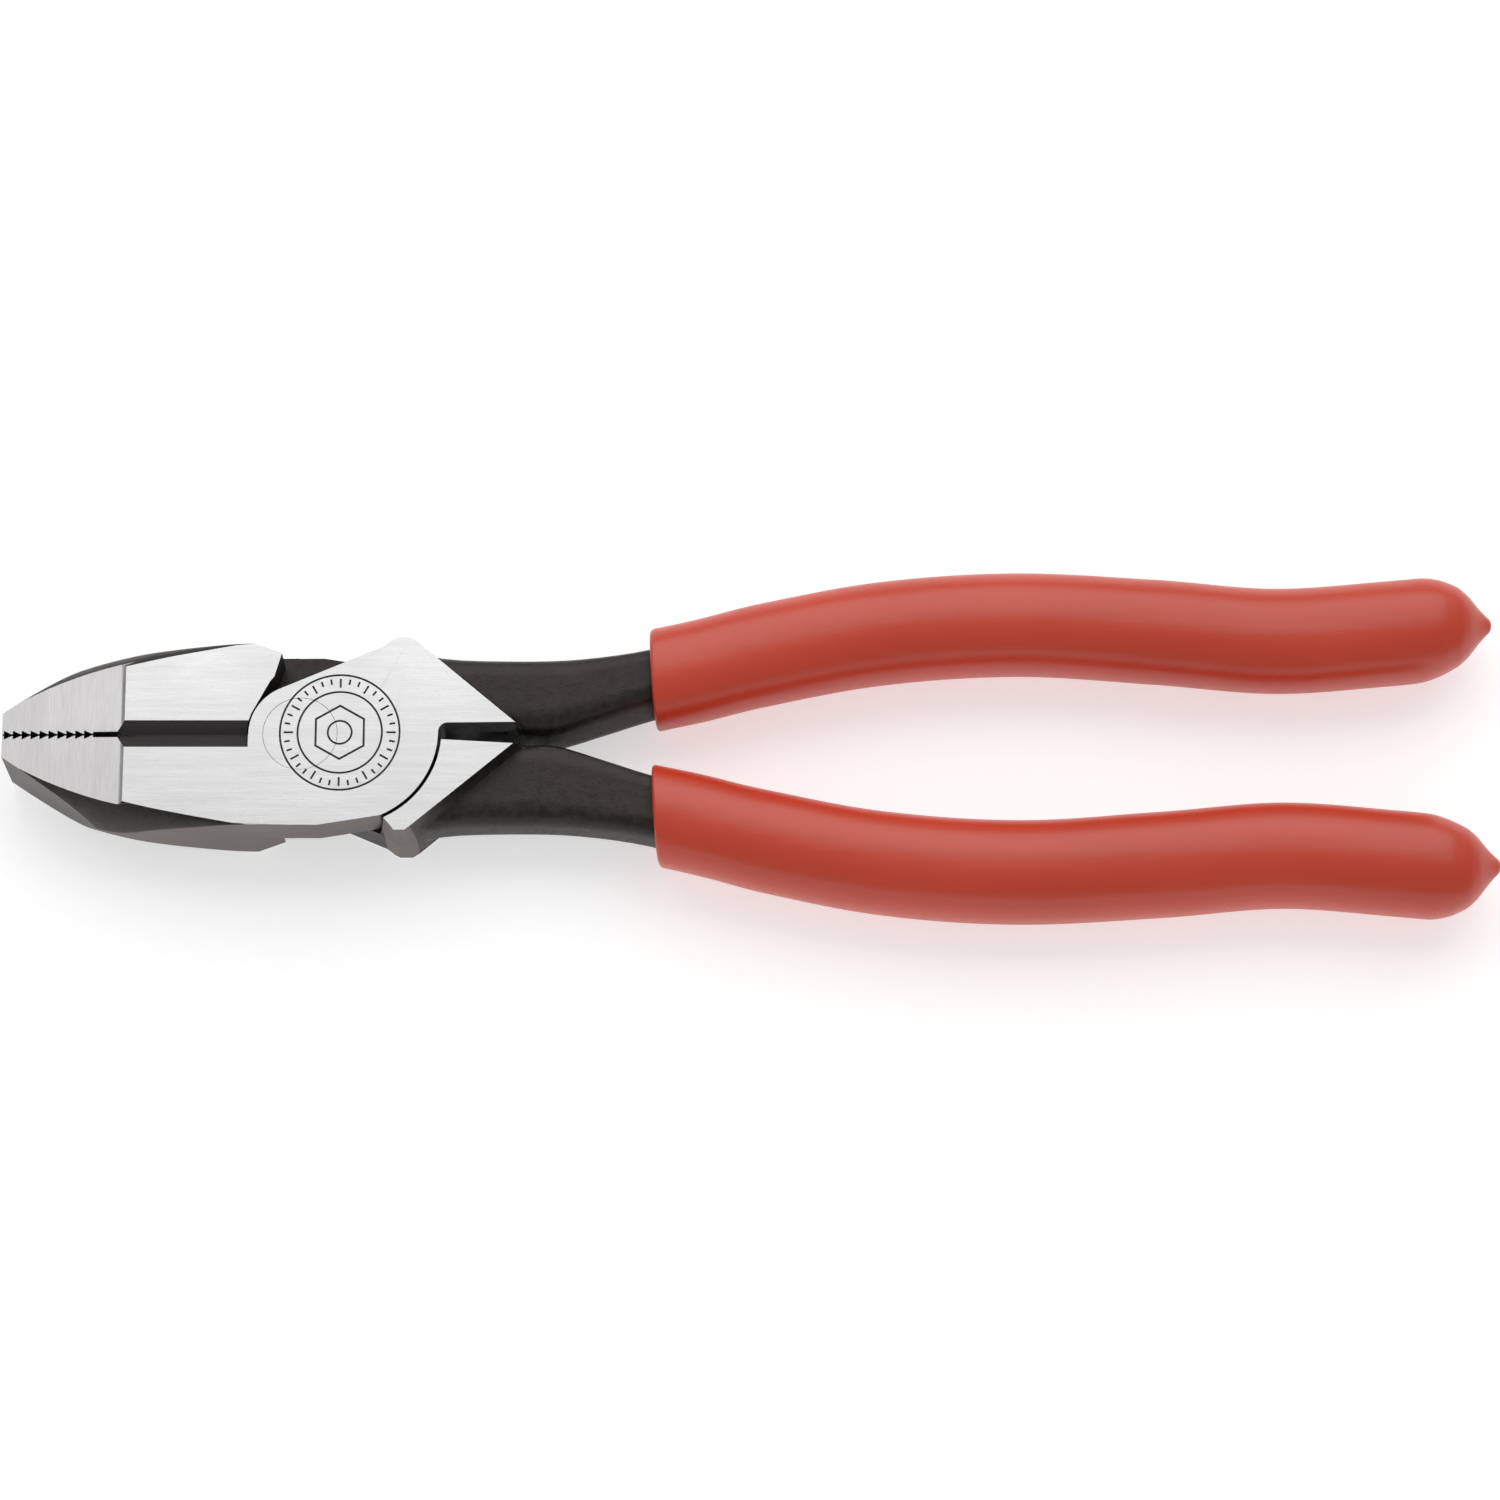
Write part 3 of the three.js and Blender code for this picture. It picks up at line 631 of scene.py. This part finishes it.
def finish_and_painted_shade_of(centre, normal):
    """Which finish a face of a half has, from where it is and which way it faces; the darker ground
    sides, the tip and the knives' recess get finishes with painted shade.
    """
    x, y = centre.x / MM, centre.y / MM
    z = centre.z / MM - FACE
    level = abs(normal.z)
    if level > FACE_IS_LEVEL and abs(z) > FACE - FACE_SKIN:
        return GROUND_X
    if x < NOSE_GRIND_X and level > NOSE_IS_LEVEL and abs(z) > NOSE_ROOF:
        return GROUND_Y
    if level > NOT_A_SIDE or x > TANG_X or y * normal.y < 0:
        # The knives' recess gets its painted shade; other faces here keep the black skin.
        in_recess = x < KNIFE_REAR_X and abs(y) < KNIFE_HALF_WIDTH and abs(z) < FACE
        return KNIFE_RECESS_PAINTED_SHADE if in_recess else OXIDE
    slanted = abs(abs(normal.x) - NOSE_FACET_LEAN) < UPRIGHT and level < UPRIGHT
    # The tip's slanted sides and blunt end get the steel with painted shade.
    if x < NOSE_FACET_X and (slanted or normal.x < -FACES_FORWARD):
        return GROUND_TIP_PAINTED_SHADE
    # Ground sides of the head and the jaw get the steel with painted shade.
    on_head = abs(y) > SIDE_Y and level < HEAD_SIDE_LEAN and x < SIDE_END_X
    on_jaw = x < 0 and level < UPRIGHT and abs(normal.y) > FACES_OUT and abs(y) > BAND_Y
    return GROUND_SIDE_PAINTED_SHADE if on_head or on_jaw else OXIDE


def set_finishes_and_painted_shade(obj):
    """Gives each face of a half its finish, some of which carry painted shade."""
    obj.data.materials.clear()
    for material in FINISHES_AND_PAINTED_SHADE:
        obj.data.materials.append(material)
    for face in obj.data.polygons:
        face.material_index = FINISHES_AND_PAINTED_SHADE.index(finish_and_painted_shade_of(face.center, face.normal))


def soften_edges(obj):
    """Rounds sharp edges and rubs them bright, apart from those along the sides of the nose."""
    bevel = obj.modifiers.new("soft_edges", "BEVEL")
    bevel.width = EDGE_WIDTH * MM
    bevel.segments = 2
    bevel.limit_method = "ANGLE"
    bevel.angle_limit = radians(EDGE_ANGLE)
    bevel.material = FINISHES_AND_PAINTED_SHADE.index(WORN_EDGE)
    apply_modifiers(obj)
    for face in obj.data.polygons:
        on_nose = face.center.x / MM < NOSE_STEP_X and abs(face.center.y) / MM > NOSE_EDGE_Y
        if on_nose and face.material_index == FINISHES_AND_PAINTED_SHADE.index(WORN_EDGE):
            face.material_index = FINISHES_AND_PAINTED_SHADE.index(OXIDE)


def half(name, node):
    """One forged half, from its CAD node."""
    obj = cad_copy(name, node)
    join_flat_faces(obj)
    set_finishes_and_painted_shade(obj)
    soften_edges(obj)
    return obj


# ---------------------------------------------------------------- rivet

def rivet():
    """A shank with a countersunk head on each face, ground nearly flush."""
    top = FACE - RIVET_SUNK
    profile = [
        (RIVET_HEAD_RADIUS - RIVET_EDGE, top), (RIVET_HEAD_RADIUS, top - RIVET_EDGE),
        (RIVET_RADIUS, FACE - RIVET_HEAD_DEPTH),
    ]
    profile += [(radius, -height) for radius, height in reversed(profile)]
    rings = []
    for radius, height in profile:
        angles = [2 * pi * i / RIVET_SIDES for i in range(RIVET_SIDES)]
        rings.append([(radius * cos(a), radius * sin(a), height) for a in angles])
    obj = new_object("rivet", *stacked_rings(rings))
    face_outward(obj)
    for material in (GROUND_X, ENGRAVING):
        obj.data.materials.append(material)
    return obj


# ---------------------------------------------------------------- engraved mark

def groove_ring(radius, sides, turn=0.0, line=MARK_LINE):
    """Points and faces of a cutter that leaves a groove along a circle or a regular polygon."""
    points = []
    for height in (FACE - MARK_DEPTH, FACE + MARK_PAST):
        for edge in (radius - line / 2, radius + line / 2):
            for i in range(sides):
                angle = turn + 2 * pi * i / sides
                points.append((
                    MARK_CENTRE[0] + edge * cos(angle), MARK_CENTRE[1] + edge * sin(angle), height))
    corners = [0, sides, 3 * sides, 2 * sides]
    faces = []
    for i in range(sides):
        j = (i + 1) % sides
        for a, b in zip(corners, corners[1:] + corners[:1]):
            faces.append((a + i, b + i, b + j, a + j))
    return points, faces


def groove_tick(angle, start, end):
    """Points and faces of a cutter that leaves one straight groove away from the mark's centre."""
    along = Vector((cos(angle), sin(angle)))
    across = Vector((-along.y, along.x)) * MARK_LINE / 2
    points = []
    for height in (FACE - MARK_DEPTH, FACE + MARK_PAST):
        for reach, side in ((start, -1), (end, -1), (end, 1), (start, 1)):
            place = Vector(MARK_CENTRE) + along * reach + across * side
            points.append((place.x, place.y, height))
    faces = [(3, 2, 1, 0), (4, 5, 6, 7)]
    faces += [(i, (i + 1) % 4, (i + 1) % 4 + 4, i + 4) for i in range(4)]
    return points, faces


def mark_cutter():
    """All grooves of the mark as one cutter."""
    shapes = [
        groove_ring(MARK_OUTER_CIRCLE, sides=96),
        groove_ring(MARK_INNER_CIRCLE, sides=84),
        groove_ring(MARK_HEXAGON, sides=6, turn=pi / 6, line=MARK_HEXAGON_LINE),
        groove_ring(MARK_SMALL_CIRCLE, sides=36),
    ]
    for i in range(MARK_TICKS):
        is_long = i % MARK_LONG_TICK_EVERY == 0
        start = MARK_LONG_TICK_START if is_long else MARK_TICK_START
        shapes.append(groove_tick(2 * pi * i / MARK_TICKS, start, MARK_TICK_END))
    points, faces = [], []
    for more_points, more_faces in shapes:
        base = len(points)
        points += more_points
        faces += [tuple(base + corner for corner in face) for face in more_faces]
    obj = new_object("mark_cutter", points, faces)
    face_outward(obj)
    obj.data.materials.append(ENGRAVING)
    return obj


def engrave(obj, cutter):
    """Cuts the mark into a piece. The groove takes the cutter's material."""
    cut = obj.modifiers.new("mark", "BOOLEAN")
    cut.operation = "DIFFERENCE"
    cut.solver = "EXACT"
    cut.object = cutter
    cut.material_mode = "TRANSFER"
    apply_modifiers(obj)


# ---------------------------------------------------------------- camera, light and floor

def camera():
    """Looks along +Y and steeply down, as at a tool laid on a table."""
    elevation = radians(CAMERA_ELEVATION)
    out = Vector((0, -cos(elevation), sin(elevation)))
    data = bpy.data.cameras.new("camera")
    data.sensor_width = CAMERA_SENSOR
    data.lens = CAMERA_LENS
    obj = bpy.data.objects.new("camera", data)
    obj.location = Vector(CAMERA_TARGET) * MM + out * CAMERA_DISTANCE
    obj.rotation_euler = (-out).to_track_quat("-Z", "Y").to_euler()
    bpy.context.scene.collection.objects.link(obj)
    bpy.context.scene.camera = obj


def soft_box(name, place, power, width, height):
    """A rectangular light that faces the tool."""
    data = bpy.data.lights.new(name, "AREA")
    data.shape = "RECTANGLE"
    data.size = width
    data.size_y = height
    data.energy = power
    obj = bpy.data.objects.new(name, data)
    obj.location = place
    aim = Vector(LIGHT_TARGET) - Vector(place)
    obj.rotation_euler = aim.to_track_quat("-Z", "Y").to_euler()
    bpy.context.scene.collection.objects.link(obj)


def studio():
    """A pale room with a wide soft box over the back of the tool and a low one in front."""
    soft_box("back", **BACK_BOX)
    soft_box("front", **FRONT_BOX)
    world = bpy.data.worlds.new("studio")
    world.use_nodes = True
    background = world.node_tree.nodes["Background"]
    background.inputs["Color"].default_value = (1, 1, 1, 1)
    background.inputs["Strength"].default_value = WORLD_STRENGTH
    bpy.context.scene.world = world
    bpy.context.scene.view_settings.view_transform = "Standard"


def floor():
    """A pale light table, which glows so that shadows on it stay soft."""
    size = FLOOR_HALF_SIZE
    height = -FACE - FLOOR_GAP
    points = [(-size, -size, height), (size, -size, height), (size, size, height), (-size, size, height)]
    obj = new_object("floor", points, [(0, 1, 2, 3)])
    material, tree, shader = new_material("pale_floor")
    colour = ramp(tree, grain(tree, FLOOR_GRAIN), (0.64, 0.64, 0.64), (0.66, 0.66, 0.66))
    tree.links.new(colour, shader.inputs["Base Color"])
    shader.inputs["Emission Color"].default_value = (1, 1, 1, 1)
    shader.inputs["Emission Strength"].default_value = FLOOR_GLOW
    shader.inputs["Roughness"].default_value = 0.9
    obj.data.materials.append(material)


# ---------------------------------------------------------------- putting it together

camera()
studio()
floor()

front_steel = half("front_steel", "front_half")
back_steel = half("back_steel", "back_half")
rivet_piece = rivet()
mark = mark_cutter()
engrave(front_steel, mark)
engrave(rivet_piece, mark)
bpy.data.objects.remove(mark)
for steel in (front_steel, back_steel, rivet_piece):
    shade(steel, SMOOTH_ANGLE)

front_grip = grip("front_dipped_grip", turned=False, seed=1.7)
back_grip = grip("back_dipped_grip", turned=True, seed=6.2)

for piece, body, node, slot in (
    (front_steel, "front_side", "front_half", "forged_steel"),
    (front_grip, "front_side", "front_half_grip", "grip_plastisol"),
    (rivet_piece, "front_side", "pivot_rivet", "ground_steel"),
    (back_steel, "back_side", "back_half", "forged_steel"),
    (back_grip, "back_side", "back_half_grip", "grip_plastisol"),
):
    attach(piece, body)
    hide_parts(node)
